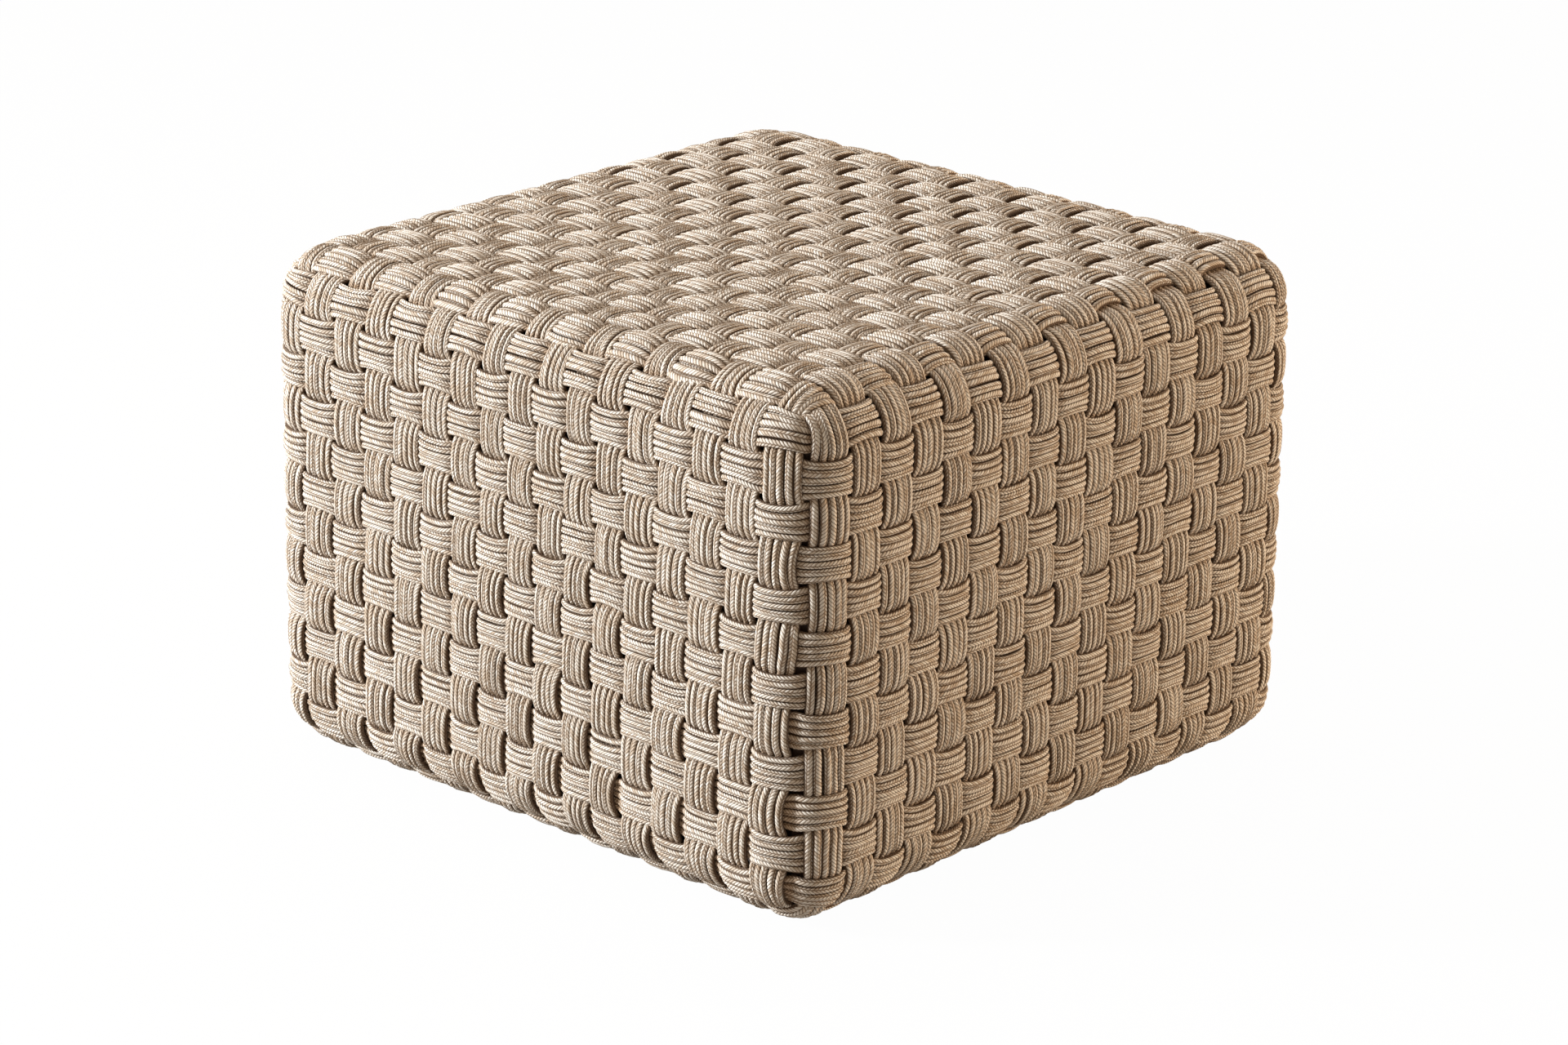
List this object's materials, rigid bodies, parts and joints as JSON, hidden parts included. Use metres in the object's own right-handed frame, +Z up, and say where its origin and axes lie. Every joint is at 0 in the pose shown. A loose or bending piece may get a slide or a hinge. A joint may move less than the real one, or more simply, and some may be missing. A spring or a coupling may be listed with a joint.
{
  "type": "outdoor ottoman footstool",
  "caption": "Square outdoor footstool covered all over in basket weave of flat rope bands, with rounded edges, on a hidden tube frame with floor glides.",
  "frame": {"origin": "on the floor, under the middle of the stool", "axes": "+Z up, +X to the right and -Y towards the front, both square to the walls"},
  "size_m": [0.6124, 0.6134, 0.4377],
  "materials": {
    "cord": "braided outdoor rope, cream and tan heather, matte",
    "frame": "brown powder coat, satin",
    "glide": "moulded nylon, matte"
  },
  "bodies": {
    "root": {"lengthwise_band_01": "cord", "lengthwise_band_02": "cord", "lengthwise_band_03": "cord", "lengthwise_band_04": "cord", "lengthwise_band_05": "cord", "lengthwise_band_06": "cord", "lengthwise_band_07": "cord", "lengthwise_band_08": "cord", "lengthwise_band_09": "cord", "lengthwise_band_10": "cord", "lengthwise_band_11": "cord", "lengthwise_band_12": "cord", "lengthwise_band_13": "cord", "lengthwise_band_14": "cord", "lengthwise_band_15": "cord", "lengthwise_band_16": "cord", "lengthwise_band_17": "cord", "crosswise_band_01": "cord", "crosswise_band_02": "cord", "crosswise_band_03": "cord", "crosswise_band_04": "cord", "crosswise_band_05": "cord", "crosswise_band_06": "cord", "crosswise_band_07": "cord", "crosswise_band_08": "cord", "crosswise_band_09": "cord", "crosswise_band_10": "cord", "crosswise_band_11": "cord", "crosswise_band_12": "cord", "crosswise_band_13": "cord", "crosswise_band_14": "cord", "crosswise_band_15": "cord", "crosswise_band_16": "cord", "crosswise_band_17": "cord", "hoop_band_01": "cord", "hoop_band_02": "cord", "hoop_band_03": "cord", "hoop_band_04": "cord", "hoop_band_05": "cord", "hoop_band_06": "cord", "hoop_band_07": "cord", "hoop_band_08": "cord", "hoop_band_09": "cord", "hoop_band_10": "cord", "hoop_band_11": "cord", "hoop_band_12": "cord", "top_ring": "frame", "bottom_ring": "frame", "post_front_left": "frame", "post_front_right": "frame", "post_back_left": "frame", "post_back_right": "frame", "seat_bar_left": "frame", "seat_bar_right": "frame", "base_bar_front": "frame", "base_bar_back": "frame", "glide_front_left": "glide", "glide_front_right": "glide", "glide_back_left": "glide", "glide_back_right": "glide"}
  },
  "joints": []
}
